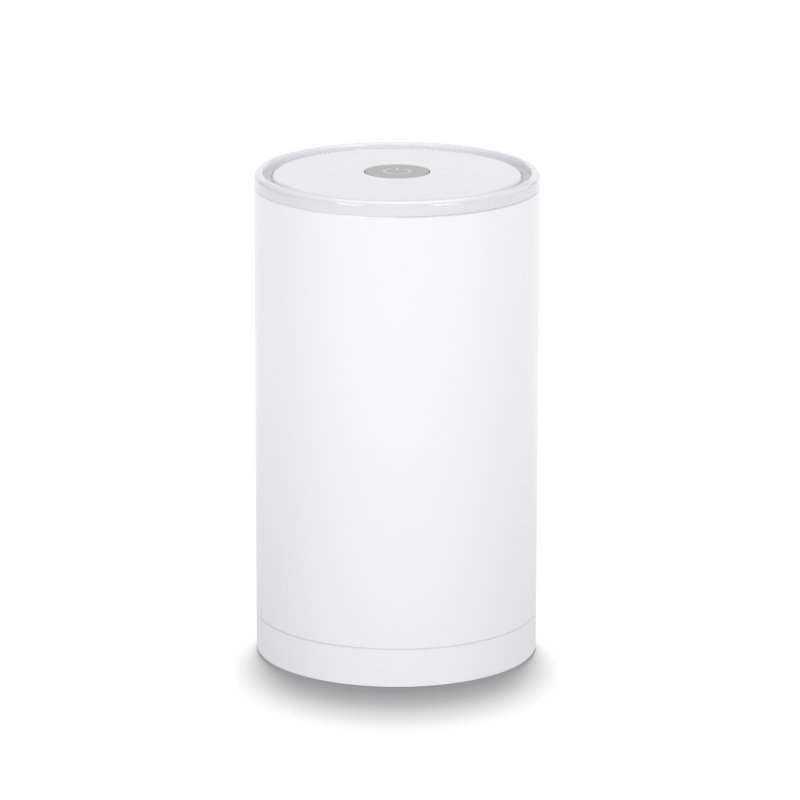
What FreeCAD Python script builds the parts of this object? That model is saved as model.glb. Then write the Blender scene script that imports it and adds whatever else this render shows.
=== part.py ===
"""Desktop air purifier, in millimetres.

A round housing with the fan, the electronics and the top button stands over a low base that carries the
filter. The housing lifts straight off the base, so that the filter can be changed. Air enters through vents
at the back of the base and the slotted plate under it, rises between filter and housing, passes inwards
through the filter, up through the fan, and leaves by the ring-shaped slot around the top disc.

Z points up and the feet stand on Z = 0. The front faces -Y, and the power socket is at the back, +Y.
"""

import FreeCAD, Part
import math
import os

V = FreeCAD.Vector
ORIGIN = V(0, 0, 0)
UP = V(0, 0, 1)

# ---------------------------------------------------------------- driving dimensions
BODY_R = 50.0  # outside radius of base, housing and top ring
TOTAL_H = 174.5  # feet to the crest of the top ring
FOOT_H = 1.1  # gap under the body
BASE_H = 13.4  # height of the base's outside wall
SEAM = 0.3  # gap between base and housing, which meet on a 45 degree cone
RING_H = 5.1  # height of the top ring
WALL = 2.2  # housing and base wall
SLOT_W = 3.0  # width of the outlet slot around the top disc
DISC_R = 43.9  # top disc
DISC_DROP = 1.2  # the disc's edge lies this far under the crest
DISC_CROWN = 1.1  # the disc's centre rises this far above its edge
BUTTON_R = 11.25
BUTTON_GAP = 0.3
FILTER_R = 39.2  # outside radius of the filter's end caps
FILTER_H = 78.2
MOVE_GAP = 0.3  # clearance between pieces that move past each other

# ---------------------------------------------------------------- base and filter
BASE_Z = FOOT_H
BASE_EDGE = BASE_Z + BASE_H
BASE_TOP = BASE_EDGE + 0.4  # the filter's seat is level with this, inside the cone
SHELL_FLAT = 0.15  # blunt lower edge of the housing
SHELL_Z = BASE_EDGE + SEAM * math.sqrt(2) + SHELL_FLAT
SHELL_IN = BODY_R - WALL
LIP_R = SHELL_IN - 0.4  # the base's lip centres the housing
LIP_IN = LIP_R - 1.6
LIP_H = 3.0
PLATE_Z = BASE_Z + 1.4
PLATE_T = 1.8
PLATE_R = SHELL_IN - 0.6
PLATE_SCREW_R = 26.0
VENT_W = 3.2  # upright vents at the back of the base
VENT_Z0, VENT_Z1 = BASE_Z + 2.6, BASE_Z + 10.4
FOOT_PAD_R = 5.5
FOOT_CIRCLE_R = 38.5
FOOT_RECESS = 0.7
SEAT_Z = BASE_TOP + 0.1  # the filter stands here
SEAT_R = 38.5
SEAT_T = 2.0
SEAT_BOSS_R = 16.0
SEAT_BOSS_H = 1.8
MAGNET_R = 2.5
MAGNET_T = 3.0
MAGNET_BOSS_R = 3.9
BASE_MAGNET_Z = BASE_TOP + LIP_H - 0.1 - MAGNET_T
HOUSING_MAGNET_Z = BASE_TOP + LIP_H + MOVE_GAP

FILTER_TOP = SEAT_Z + FILTER_H
CAP_FLOOR = 2.2
CAP_RIM = 1.0
CAP_DEPTH = 6.0
CORE_IN = 20.6
CORE_OUT = CORE_IN + 1.0
COLLAR_IN = CORE_IN - 1.7
CARBON_IN, CARBON_OUT = CORE_OUT + 0.2, CORE_OUT + 2.6
MEDIA_IN, MEDIA_OUT = CARBON_OUT + 0.3, FILTER_R - 2.0
NET_IN, NET_OUT = FILTER_R - 1.8, FILTER_R - 1.3
PLEATS = 56
PAPER_T = 0.5
STACK_Z0 = SEAT_Z + CAP_FLOOR + 0.1  # paper, carbon, core and net stand between these levels
STACK_Z1 = FILTER_TOP - CAP_FLOOR - 0.1
SEAL_H = 3.0

# ---------------------------------------------------------------- fan deck, duct and fan wheel
DECK_Z = FILTER_TOP + SEAL_H + MOVE_GAP
DECK_T = 2.2
DECK_TOP = DECK_Z + DECK_T
DECK_R = SHELL_IN - 0.4
DECK_BOSS_H = 12.6
DECK_BOSS_R = 3.4
BOSS_R = 43.8  # circle of the housing's screw bosses and magnets
THROAT_R = 20.5
IMPELLER_Z = DECK_TOP + 3.8
IMPELLER_TOP = IMPELLER_Z + 18.6
BLADES = 9
BLADE_IN, BLADE_OUT = 20.8, 32.8
BLADE_R_MAX = BLADE_OUT + 0.4  # the fan wheel's largest radius
BLADE_SWEEP = 42.0
BLADE_T = 1.3
SHROUD_R = 34.6
DUCT_WALL = 1.8
DUCT_R = 43.2
DUCT_OUT = DUCT_R + DUCT_WALL
FAN_LUG_R = 40.6
FAN_LUG_Z0, FAN_LUG_Z1 = DECK_TOP + 1.3, DECK_TOP + 4.3
GROMMET_R = 3.6
MOUNT_Z = IMPELLER_TOP - 0.2  # lower edge of the motor mount's outer ring
MOUNT_TOP = MOUNT_Z + 24.0
HUB_FLOOR = MOUNT_Z + 3.6
HUB_R = 25.6
HUB_WALL = 1.6
VANES = 11

# ---------------------------------------------------------------- motor
SHAFT_R = 1.5
BEARING_R = 4.0
BEARING_H = 4.0
BEARING_TUBE_R = 5.0
BALL_R = 0.62
RACE_R = 0.68
BALL_CIRCLE = 2.75
INNER_RACE_R = 2.3
OUTER_RACE_R = 3.2
ROTOR_R = 16.8
ROTOR_T = 1.0
ROTOR_Z = IMPELLER_Z + 2.5
STATOR_Z0, STATOR_Z1 = ROTOR_Z + 5.5, ROTOR_Z + 12.7
STATOR_R = 13.3
END_PLATE_T = 0.8
TEETH = 9
TOOTH_W = 2.6
LOWER_BEARING_Z = ROTOR_Z + 3.6
UPPER_BEARING_Z = HUB_FLOOR - 4.2
CLIP_Z = UPPER_BEARING_Z + BEARING_H + 0.4
CLIP_T = 0.5
MOTOR_BOARD_Z = IMPELLER_TOP + 0.5
MOTOR_BOARD_T = 1.2
MOTOR_LEAD_X = 9.0

# ---------------------------------------------------------------- top
RING_Z = TOTAL_H - RING_H
RING_IN = DISC_R + SLOT_W
LEDGE_Z = RING_Z - 5.3  # the outlet grille rests here
TRAY_Z = RING_Z - 10.9
TRAY_T = 2.0
TRAY_WALL_OUT = RING_IN - 4.5
TRAY_WALL_IN = TRAY_WALL_OUT - 1.4
OUTLET_BLADES = 144
BLADE_TOP_Z = TOTAL_H - 2.0  # the blades end this high in the outlet slot
DISC_EDGE_Z = TOTAL_H - DISC_DROP
DISC_T = 2.2
DISC_ROUND = 1.6
DISC_SCREW_R = 34.0
BUTTON_TOP = DISC_EDGE_Z + DISC_CROWN
BUTTON_CAP_T = 1.8
SLEEVE_R = BUTTON_R + BUTTON_GAP
SLEEVE_Z = RING_Z - 0.4
SKIRT_Z = SLEEVE_Z + 1.1
SYMBOL_R = 4.6
SYMBOL_LINE = 0.95
SYMBOL_DEPTH = 0.35
SYMBOL_OPEN = 34.0  # half the ring's opening, in degrees

# ---------------------------------------------------------------- electronics
BOARD_Z = TRAY_Z + TRAY_T + 2.0
BOARD_T = 1.6
BOARD_TOP = BOARD_Z + BOARD_T
BOARD_R = 27.0
BOARD_POST_R = 21.0
SWITCH_HALF = 3.0
SWITCH_TOP = BOARD_TOP + 3.5
PLUNGER_TOP = SWITCH_TOP + 1.1
CONNECTOR_Z = BOARD_TOP + 1.3
LEAD_R = 1.0
LEAD_HOLE_R = 33.0
SOCKET_Z = BASE_TOP + 14.6
SOCKET_MOUTH_W, SOCKET_MOUTH_H = 9.6, 3.9
SOCKET_HALF_W, SOCKET_HALF_H = 4.47, 1.6
SOCKET_MOUTH_Y = BODY_R - 0.8
SOCKET_BOARD_Y = BOSS_R - 2.0
SOCKET_BOARD_T = 1.2
SOCKET_BOARD_HALF = 8.8
SOCKET_BOARD_Z0, SOCKET_BOARD_Z1 = SOCKET_Z - 6.5, SOCKET_Z + 6.5

# ---------------------------------------------------------------- fasteners
SCREW_R = 1.2
SCREW_HEAD_R = 2.4
SCREW_HEAD_H = 1.6
SMALL_SCREW_R = 0.9
SMALL_HEAD_R = 1.8
SMALL_HEAD_H = 1.2

# ---------------------------------------------------------------- angles, in degrees from +X
MAGNET_ANGLES = (30, 150, 270)
DECK_SCREW_ANGLES = (30, 150, 270)
FAN_SCREW_ANGLES = (60, 180, 300)
FOOT_ANGLES = (45, 135, 225, 315)
PLATE_SCREW_ANGLES = (0, 90, 180, 270)
DISC_SCREW_ANGLES = (45, 135, 225, 315)
BOARD_SCREW_ANGLES = (135, 225, 315)
HOOK_ANGLES = (90, 210, 330)
VENT_ANGLES = range(45, 136, 6)


# ---------------------------------------------------------------- helpers
def polar(radius, degrees, z=0.0):
    """The point at a radius and an angle about Z."""
    a = math.radians(degrees)
    return V(radius * math.cos(a), radius * math.sin(a), z)


def cylinder(radius, z0, z1, centre=ORIGIN):
    """An upright cylinder whose axis passes through centre."""
    return Part.makeCylinder(radius, z1 - z0, V(centre.x, centre.y, z0))


def tube(r_in, r_out, z0, z1, centre=ORIGIN):
    """An upright tube."""
    return cylinder(r_out, z0, z1, centre).cut(cylinder(r_in, z0, z1, centre))


def box(x0, x1, y0, y1, z0, z1):
    """A box between two corners."""
    return Part.makeBox(x1 - x0, y1 - y0, z1 - z0, V(x0, y0, z0))


def revolve(outline):
    """A solid turned about Z from a closed outline of (radius, height) points."""
    points = [V(r, 0, z) for r, z in outline]
    face = Part.Face(Part.makePolygon(points + points[:1]))
    return face.revolve(ORIGIN, UP, 360)


def prism(points, z0, z1):
    """An upright prism over a closed polygon of points."""
    face = Part.Face(Part.makePolygon([V(p.x, p.y, z0) for p in points + points[:1]]))
    return face.extrude(V(0, 0, z1 - z0))


def round_edges(solid, radius, *places):
    """Rounds the circular edges about Z that lie at the given (radius, height) places."""
    chosen = []
    for edge in solid.Edges:
        if not isinstance(edge.Curve, Part.Circle):
            continue
        centre = edge.Curve.Center
        if math.hypot(centre.x, centre.y) > 1e-3:
            continue
        if any(abs(edge.Curve.Radius - r) + abs(centre.z - z) < 1e-3 for r, z in places):
            chosen.append(edge)
    return solid.makeFillet(radius, chosen)


def turned(shape, degrees):
    """A copy of a shape turned about Z."""
    copy = shape.copy()
    copy.rotate(ORIGIN, UP, degrees)
    return copy


def at_angles(shape, angles):
    """Copies of a shape turned about Z to each angle."""
    return [turned(shape, a) for a in angles]


def around(shape, count, first=0.0):
    """Evenly spaced copies of a shape about Z."""
    return at_angles(shape, [first + i * 360.0 / count for i in range(count)])


def joined(*shapes):
    """One solid from shapes that touch or overlap."""
    return shapes[0].fuse(list(shapes[1:])).removeSplitter()


def radial_slot(r0, r1, width, z0, z1):
    """A cutter for a round-ended slot along +X."""
    half = width / 2
    ends = [cylinder(half, z0, z1, V(r, 0, 0)) for r in (r0 + half, r1 - half)]
    return joined(box(r0 + half, r1 - half, -half, half, z0, z1), *ends)


def pan_screw(radius, head_r, head_h, length, at, points_up):
    """A pan-head screw whose head's bearing face is at the given point."""
    shaft = cylinder(radius, 0, length)
    head = round_edges(cylinder(head_r, -head_h, 0), head_h * 0.45, (head_r, -head_h))
    recess = [box(-head_r * 0.55, head_r * 0.55, -0.25, 0.25, -head_h, -head_h * 0.45)]
    recess.append(turned(recess[0], 90))
    screw = joined(shaft, head).cut(recess)
    if not points_up:
        screw.rotate(ORIGIN, V(1, 0, 0), 180)
    screw.translate(at)
    return screw


def routed(points, radius):
    """A round lead along a route: straight runs joined by the largest tangent arcs that the runs allow."""
    edges = []
    last = points[0]
    for before, corner, after in zip(points, points[1:], points[2:]):
        back, ahead = before - corner, after - corner
        turn = math.pi - back.getAngle(ahead)
        cut_back = 0.45 * min(back.Length, ahead.Length)
        back.normalize()
        ahead.normalize()
        bend = cut_back / math.tan(turn / 2)
        inward = back + ahead
        inward.normalize()
        middle = corner + inward * (math.hypot(bend, cut_back) - bend)
        start, end = corner + back * cut_back, corner + ahead * cut_back
        edges.append(Part.LineSegment(last, start).toShape())
        edges.append(Part.Arc(start, middle, end).toShape())
        last = end
    edges.append(Part.LineSegment(last, points[-1]).toShape())
    path = Part.Wire(edges)
    section = Part.Wire(Part.Circle(points[0], points[1] - points[0], radius).toShape())
    lead = path.makePipeShell([section], True, False)
    expected = math.pi * radius**2 * path.Length
    print(f"lead of {path.Length:.1f} mm, volume {lead.Volume:.1f} against {expected:.1f} mm3")
    return lead


# ---------------------------------------------------------------- base


def base_vent():
    """The space of one round-ended vent through the base's wall, on +X."""
    inside, depth, half = SHELL_IN - 1.0, WALL + 2.0, VENT_W / 2
    slot = box(inside, inside + depth, -half, half, VENT_Z0 + half, VENT_Z1 - half)
    lower = Part.makeCylinder(half, depth, V(inside, 0, VENT_Z0 + half), V(1, 0, 0))
    upper = Part.makeCylinder(half, depth, V(inside, 0, VENT_Z1 - half), V(1, 0, 0))
    return joined(slot, lower, upper)


def base_ring():
    """The base's wall with its vents, the lip inside the housing, and the filter's seat on six ribs."""
    wall = revolve(
        [
            (SHELL_IN - 0.2, BASE_Z),
            (BODY_R, BASE_Z),
            (BODY_R, BASE_EDGE),
            (LIP_R, BASE_EDGE + BODY_R - LIP_R),
            (LIP_R, BASE_TOP + LIP_H),
            (LIP_IN, BASE_TOP + LIP_H),
            (LIP_IN, BASE_TOP - 2.0),
            (SHELL_IN - 0.2, BASE_TOP - 3.8),
        ]
    )
    wall = round_edges(wall, 0.3, (BODY_R, BASE_Z))
    wall = round_edges(wall, 0.5, (LIP_R, BASE_TOP + LIP_H))
    seat = cylinder(SEAT_R, SEAT_Z - SEAT_T, SEAT_Z)
    centring = cylinder(SEAT_BOSS_R, SEAT_Z - SEAT_T, SEAT_Z + SEAT_BOSS_H)
    centring = round_edges(centring, 0.6, (SEAT_BOSS_R, SEAT_Z + SEAT_BOSS_H))
    rib = box(SEAT_R - 12, LIP_IN + 0.8, -0.9, 0.9, SEAT_Z - 7.5, SEAT_Z - 0.1)
    post_top = SEAT_Z - SEAT_T / 2
    post = cylinder(3.0, PLATE_Z + PLATE_T, post_top, V(PLATE_SCREW_R, 0, 0))
    holder = cylinder(MAGNET_BOSS_R, SEAT_Z - 7.5, BASE_TOP + LIP_H, V(BOSS_R - 0.5, 0, 0))
    ring = joined(
        wall,
        seat,
        centring,
        *around(rib, 6, 30),
        *at_angles(post, PLATE_SCREW_ANGLES),
        *at_angles(holder, MAGNET_ANGLES),
    )
    hollow = cylinder(SEAT_BOSS_R - SEAT_T, SEAT_Z - SEAT_T, SEAT_Z + SEAT_BOSS_H - SEAT_T)
    pilot = cylinder(SCREW_R, PLATE_Z, post_top - 1.5, V(PLATE_SCREW_R, 0, 0))
    pocket = cylinder(MAGNET_R, BASE_MAGNET_Z, TOTAL_H, V(BOSS_R, 0, 0))
    cutters = at_angles(pilot, PLATE_SCREW_ANGLES) + at_angles(pocket, MAGNET_ANGLES)
    return ring.cut([hollow] + cutters + at_angles(base_vent(), VENT_ANGLES))


def inlet_plate():
    """The slotted plate that closes the base from below."""
    plate = cylinder(PLATE_R, PLATE_Z, PLATE_Z + PLATE_T)
    plate = round_edges(plate, 0.4, (PLATE_R, PLATE_Z))
    outer = radial_slot(31.0, 44.5, 2.2, PLATE_Z, PLATE_Z + PLATE_T)
    inner = radial_slot(9.0, 21.0, 2.2, PLATE_Z, PLATE_Z + PLATE_T)
    pitch, clear_of_foot = 6.0, 12.0
    slots = around(inner, 18)
    for i in range(60):
        angle = i * pitch
        if all(abs((angle - foot + 180) % 360 - 180) > clear_of_foot for foot in FOOT_ANGLES):
            slots.append(turned(outer, angle))
    hole = cylinder(SCREW_R + 0.2, PLATE_Z, PLATE_Z + PLATE_T, V(PLATE_SCREW_R, 0, 0))
    recess = cylinder(FOOT_PAD_R + 0.1, PLATE_Z, PLATE_Z + FOOT_RECESS, V(FOOT_CIRCLE_R, 0, 0))
    return plate.cut(slots + at_angles(hole, PLATE_SCREW_ANGLES) + at_angles(recess, FOOT_ANGLES))


def plate_screws():
    """Four screws that hold the inlet plate, with low heads that stay clear of the floor."""
    at = V(PLATE_SCREW_R, 0, PLATE_Z)
    screw = pan_screw(SCREW_R, SCREW_HEAD_R, SCREW_HEAD_H, 9.5, at, True)
    return at_angles(screw, PLATE_SCREW_ANGLES)


def rubber_feet():
    """Four rubber pads glued into round recesses."""
    foot = cylinder(FOOT_PAD_R, 0, PLATE_Z + FOOT_RECESS)
    foot = round_edges(foot, 0.6, (FOOT_PAD_R, 0))
    foot.translate(V(FOOT_CIRCLE_R, 0, 0))
    return at_angles(foot, FOOT_ANGLES)


def magnet(z0):
    """A small disc magnet with its broken edges."""
    disc = cylinder(MAGNET_R - 0.03, z0, z0 + MAGNET_T)
    disc = disc.makeChamfer(0.2, [e for e in disc.Edges if isinstance(e.Curve, Part.Circle)])
    disc.translate(V(BOSS_R, 0, 0))
    return disc


# ---------------------------------------------------------------- filter


def filter_lower_cap():
    """The closed lower end of the filter, hollowed below to sit on the seat's boss."""
    floor = SEAT_Z + CAP_FLOOR
    hollow = SEAT_Z + SEAT_BOSS_H + 0.2
    rim_top = SEAT_Z + CAP_DEPTH
    collar_top = rim_top + 1.5
    cap = revolve(
        [
            (0, hollow),
            (SEAT_BOSS_R + 0.3, hollow),
            (SEAT_BOSS_R + 0.3, SEAT_Z),
            (FILTER_R, SEAT_Z),
            (FILTER_R, rim_top),
            (FILTER_R - CAP_RIM, rim_top),
            (FILTER_R - CAP_RIM, floor),
            (CORE_IN - 0.1, floor),
            (CORE_IN - 0.1, collar_top),
            (COLLAR_IN, collar_top),
            (COLLAR_IN, hollow + 2.0),
            (0, hollow + 2.0),
        ]
    )
    return round_edges(cap, 0.45, (FILTER_R, SEAT_Z), (FILTER_R, rim_top))


def filter_upper_cap():
    """The ring-shaped upper end of the filter, open in the middle."""
    floor = FILTER_TOP - CAP_FLOOR
    rim_z = FILTER_TOP - CAP_DEPTH
    cap = revolve(
        [
            (COLLAR_IN, rim_z - 1.5),
            (CORE_IN - 0.1, rim_z - 1.5),
            (CORE_IN - 0.1, floor),
            (FILTER_R - CAP_RIM, floor),
            (FILTER_R - CAP_RIM, rim_z),
            (FILTER_R, rim_z),
            (FILTER_R, FILTER_TOP),
            (COLLAR_IN, FILTER_TOP),
        ]
    )
    return round_edges(cap, 0.45, (FILTER_R, rim_z), (FILTER_R, FILTER_TOP))


def pleat_line(r_low, r_high, low_half, high_half):
    """A closed zigzag of flat-topped folds between two radii. The halves are the folds' half widths."""
    points = []
    step = 360.0 / PLEATS
    for i in range(PLEATS):
        low, high = math.degrees(low_half / r_low), math.degrees(high_half / r_high)
        points += [polar(r_low, i * step - low), polar(r_low, i * step + low)]
        crest = (i + 0.5) * step
        points += [polar(r_high, crest - high), polar(r_high, crest + high)]
    return points


def filter_media():
    """The pleated paper ring."""
    outside = pleat_line(MEDIA_IN + PAPER_T, MEDIA_OUT, PAPER_T / 2, PAPER_T * 1.6)
    inside = pleat_line(MEDIA_IN, MEDIA_OUT - PAPER_T, PAPER_T * 1.5, PAPER_T * 0.6)
    return prism(outside, STACK_Z0, STACK_Z1).cut(prism(inside, STACK_Z0, STACK_Z1))


def filter_core():
    """The perforated tube that keeps the filter round."""
    core = tube(CORE_IN, CORE_OUT, STACK_Z0, STACK_Z1)
    hole = Part.makeCylinder(2.6, CORE_OUT + 2, V(0, 0, 0), V(1, 0, 0))
    holes = []
    rows, per_row, margin = 8, 12, 9.0
    pitch = (STACK_Z1 - STACK_Z0 - 2 * margin) / (rows - 1)
    for row in range(rows):
        level = hole.copy()
        level.translate(V(0, 0, STACK_Z0 + margin + row * pitch))
        holes += around(level, per_row, 15 * (row % 2))
    return core.cut(holes)


# ---------------------------------------------------------------- housing


def boss_on_wall(radius, z0, z1):
    """A boss on the BOSS_R circle at +X, joined to the housing's wall by a web."""
    web = box(BOSS_R, SHELL_IN + 0.4, -radius * 0.55, radius * 0.55, z0, z1)
    return joined(cylinder(radius, z0, z1, V(BOSS_R, 0, 0)), web)


def outer_shell():
    """The housing's wall, with the grille's ledge, bosses for deck and magnets, and rails for the socket."""
    shell = revolve(
        [
            (SHELL_IN, SHELL_Z + WALL - SHELL_FLAT),
            (BODY_R - SHELL_FLAT, SHELL_Z),
            (BODY_R, SHELL_Z),
            (BODY_R, RING_Z),
            (SHELL_IN, RING_Z),
            (SHELL_IN, LEDGE_Z),
            (SHELL_IN - 2.2, LEDGE_Z),
            (SHELL_IN - 2.2, LEDGE_Z - 2.0),
            (SHELL_IN, LEDGE_Z - 4.2),
        ]
    )
    shell = round_edges(shell, 0.6, (BODY_R, RING_Z))
    deck_boss = boss_on_wall(DECK_BOSS_R, DECK_TOP, DECK_TOP + DECK_BOSS_H)
    magnet_boss = boss_on_wall(MAGNET_BOSS_R - 0.1, HOUSING_MAGNET_Z, HOUSING_MAGNET_Z + 6)
    rail_x0, rail_y0 = SOCKET_BOARD_HALF - 1.6, SOCKET_BOARD_Y + SOCKET_BOARD_T
    rail = box(rail_x0, SOCKET_BOARD_HALF, rail_y0, SHELL_IN - 0.3, SOCKET_BOARD_Z0, SOCKET_BOARD_Z1)
    shell = joined(
        shell,
        *at_angles(deck_boss, DECK_SCREW_ANGLES),
        *at_angles(magnet_boss, MAGNET_ANGLES),
        rail,
        rail.mirror(ORIGIN, V(1, 0, 0)),
    )
    pilot = cylinder(SCREW_R, DECK_TOP, DECK_TOP + 9, V(BOSS_R, 0, 0))
    pocket = cylinder(MAGNET_R, HOUSING_MAGNET_Z, HOUSING_MAGNET_Z + MAGNET_T, V(BOSS_R, 0, 0))
    mouth = stadium(SOCKET_MOUTH_W / 2, SOCKET_MOUTH_H / 2, SOCKET_BOARD_Y + SOCKET_BOARD_T, BODY_R + 1)
    return shell.cut(at_angles(pilot, DECK_SCREW_ANGLES) + at_angles(pocket, MAGNET_ANGLES) + [mouth])


def top_ring():
    """The rim: a round-edged band on the shell's top, with a skirt that plugs into the shell."""
    ring = revolve(
        [
            (RING_IN, TOTAL_H),
            (BODY_R, TOTAL_H),
            (BODY_R, RING_Z),
            (SHELL_IN - 0.1, RING_Z),
            (SHELL_IN - 0.1, RING_Z - 4.5),
            (RING_IN - 0.5, RING_Z - 4.5),
            (RING_IN - 0.5, RING_Z - 0.6),
            (RING_IN, RING_Z - 0.1),
        ]
    )
    ring = round_edges(ring, 2.0, (BODY_R, TOTAL_H))
    return round_edges(ring, 0.9, (RING_IN, TOTAL_H))


def outlet_grille():
    """The tray for the electronics, and the ring of thin blades that bridges the outlet slot."""
    rim_in, rim_out = RING_IN - 1.3, RING_IN - 0.6
    rim_top = RING_Z - 0.5
    half = 0.55
    tray = revolve(
        [
            (0, TRAY_Z),
            (TRAY_WALL_OUT, TRAY_Z),
            (TRAY_WALL_OUT, RING_Z),
            (TRAY_WALL_IN, RING_Z),
            (TRAY_WALL_IN, TRAY_Z + TRAY_T),
            (0, TRAY_Z + TRAY_T),
        ]
    )
    rim = tube(rim_in, rim_out, LEDGE_Z, rim_top)
    low = box(TRAY_WALL_OUT - 0.4, rim_in + 0.3, -half, half, LEDGE_Z + 0.8, rim_top - 0.3)
    neck = box(DISC_R + 0.05, rim_in + 0.3, -half, half, rim_top - 0.5, BLADE_TOP_Z)
    head = box(DISC_R + 0.05, RING_IN - 0.05, -half, half, RING_Z + 0.2, BLADE_TOP_Z)
    blade = joined(low, neck, head)
    post = cylinder(2.4, TRAY_Z + TRAY_T, BOARD_Z, V(BOARD_POST_R, 0, 0))
    grille = joined(tray, rim, *around(blade, OUTLET_BLADES), *at_angles(post, BOARD_SCREW_ANGLES))
    disc_hole = cylinder(SCREW_R + 0.3, TRAY_Z, BOARD_Z, V(DISC_SCREW_R, 0, 0))
    board_pilot = cylinder(SMALL_SCREW_R, TRAY_Z + 0.6, BOARD_Z, V(BOARD_POST_R, 0, 0))
    lead_hole = cylinder(LEAD_R + 0.5, TRAY_Z, BOARD_Z, V(LEAD_HOLE_R, 0, 0))
    cutters = at_angles(disc_hole, DISC_SCREW_ANGLES) + at_angles(board_pilot, BOARD_SCREW_ANGLES)
    return grille.cut(cutters + at_angles(lead_hole, (0, 90)))


# ---------------------------------------------------------------- top disc and button


def crown_z(radius, drop=0.0):
    """Height of the disc's crowned face at a radius, lowered by drop."""
    sphere = (DISC_R**2 + DISC_CROWN**2) / (2 * DISC_CROWN)
    return BUTTON_TOP - drop - sphere + math.sqrt(sphere**2 - radius**2)


def crown_arc(r0, r1, drop=0.0):
    """The disc's crown between two radii, as an edge in the XZ plane."""
    places = (r0, (r0 + r1) / 2, r1)
    return Part.Arc(*[V(r, 0, crown_z(r, drop)) for r in places]).toShape()


def polyline(places):
    """Straight edges through (radius, height) places in the XZ plane."""
    points = [V(r, 0, z) for r, z in places]
    return [Part.LineSegment(a, b).toShape() for a, b in zip(points, points[1:])]


def top_disc():
    """The crowned disc in the middle of the top, hollow below, with the button's sleeve and screw bosses."""
    skirt_z = RING_Z + 0.1
    skirt_in = DISC_R - DISC_T - 0.4
    sleeve_out = SLEEVE_R + 1.5
    edge_z, ceiling = crown_z(DISC_R), BUTTON_TOP - DISC_T
    skirt_top = crown_z(skirt_in, DISC_T)
    skirt = polyline([(DISC_R, edge_z), (DISC_R, skirt_z), (skirt_in, skirt_z), (skirt_in, skirt_top)])
    sleeve = polyline(
        [
            (sleeve_out, crown_z(sleeve_out, DISC_T)),
            (sleeve_out, SLEEVE_Z),
            (SLEEVE_R, SLEEVE_Z),
            (SLEEVE_R, crown_z(SLEEVE_R)),
        ]
    )
    profile = [crown_arc(SLEEVE_R, DISC_R)] + skirt + [crown_arc(skirt_in, sleeve_out, DISC_T)] + sleeve
    disc = Part.Face(Part.Wire(profile)).revolve(ORIGIN, UP, 360)
    disc = round_edges(disc, DISC_ROUND, (DISC_R, edge_z))
    disc = round_edges(disc, 0.3, (SLEEVE_R, crown_z(SLEEVE_R)))
    boss = cylinder(3.0, TRAY_Z + TRAY_T, ceiling, V(DISC_SCREW_R, 0, 0))
    boss_root = box(DISC_SCREW_R, TRAY_WALL_IN - 0.3, -0.6, 0.6, RING_Z - 2.5, ceiling)
    disc = joined(disc, *at_angles(boss, DISC_SCREW_ANGLES), *at_angles(boss_root, DISC_SCREW_ANGLES))
    pilot = cylinder(SCREW_R, TRAY_Z + TRAY_T, TRAY_Z + TRAY_T + 8.5, V(DISC_SCREW_R, 0, 0))
    return disc.cut(at_angles(pilot, DISC_SCREW_ANGLES))


def power_button():
    """The button's cap, its skirt, three snap hooks under the sleeve and the stem over the switch."""
    skirt_in = BUTTON_R - 1.5
    hook_z = SLEEVE_Z - MOVE_GAP
    cap = cylinder(BUTTON_R, BUTTON_TOP - BUTTON_CAP_T, BUTTON_TOP)
    cap = round_edges(cap, 0.35, (BUTTON_R, BUTTON_TOP))
    skirt = tube(skirt_in, BUTTON_R, SKIRT_Z, BUTTON_TOP - BUTTON_CAP_T)
    leg = tube(skirt_in, BUTTON_R - 0.1, hook_z - 1.3, SKIRT_Z)
    barb = tube(skirt_in, SLEEVE_R + 0.9, hook_z - 1.3, hook_z)
    wedge = prism([ORIGIN, polar(30, -14), polar(30, 14)], hook_z - 2, SKIRT_Z)
    hooks = [part.common(piece) for part in at_angles(wedge, HOOK_ANGLES) for piece in (leg, barb)]
    stem = cylinder(2.0, PLUNGER_TOP, BUTTON_TOP - BUTTON_CAP_T)
    button = joined(cap, skirt, stem, *hooks)
    return button.cut(symbol_solids(0.0))


def symbol_solids(inset):
    """The common power symbol: a ring open at the back, and a bar in the opening."""
    z0, z1 = BUTTON_TOP - SYMBOL_DEPTH, BUTTON_TOP
    half = SYMBOL_LINE / 2 - inset
    ring = tube(SYMBOL_R - half, SYMBOL_R + half, z0, z1)
    opening = prism([ORIGIN, polar(9, 90 - SYMBOL_OPEN), V(0, 12, 0), polar(9, 90 + SYMBOL_OPEN)], z0, z1)
    bar = box(-half, half, SYMBOL_R * 0.22, SYMBOL_R * 1.22, z0, z1)
    return [ring.cut(opening), bar]


def switch_body():
    """The push switch under the button, hollow where its plunger moves."""
    body = box(-SWITCH_HALF, SWITCH_HALF, -SWITCH_HALF, SWITCH_HALF, BOARD_TOP, SWITCH_TOP)
    body = body.makeChamfer(0.3, [e for e in body.Edges if e.BoundBox.ZMin > BOARD_TOP + 1])
    return body.cut(cylinder(1.85, SWITCH_TOP - 1.6, SWITCH_TOP))


def switch_plunger():
    """The switch's plunger, which moves with the button."""
    return round_edges(cylinder(1.75, SWITCH_TOP - 0.9, PLUNGER_TOP), 0.2, (1.75, PLUNGER_TOP))


def button_spring():
    """The coil spring between the board and the button's cap."""
    coil_r, wire_r, turns = 6.3, 0.35, 4.0
    z0 = BOARD_TOP + wire_r + 0.05
    z1 = BUTTON_TOP - BUTTON_CAP_T - wire_r - 0.05
    helix = Part.makeHelix((z1 - z0) / turns, z1 - z0, coil_r)
    section = Part.Wire(Part.Circle(V(coil_r, 0, 0), V(0, 1, 0), wire_r).toShape())
    spring = Part.Wire(helix).makePipeShell([section], True, True)
    spring.translate(V(0, 0, z0))
    return spring


# ---------------------------------------------------------------- electronics


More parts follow.
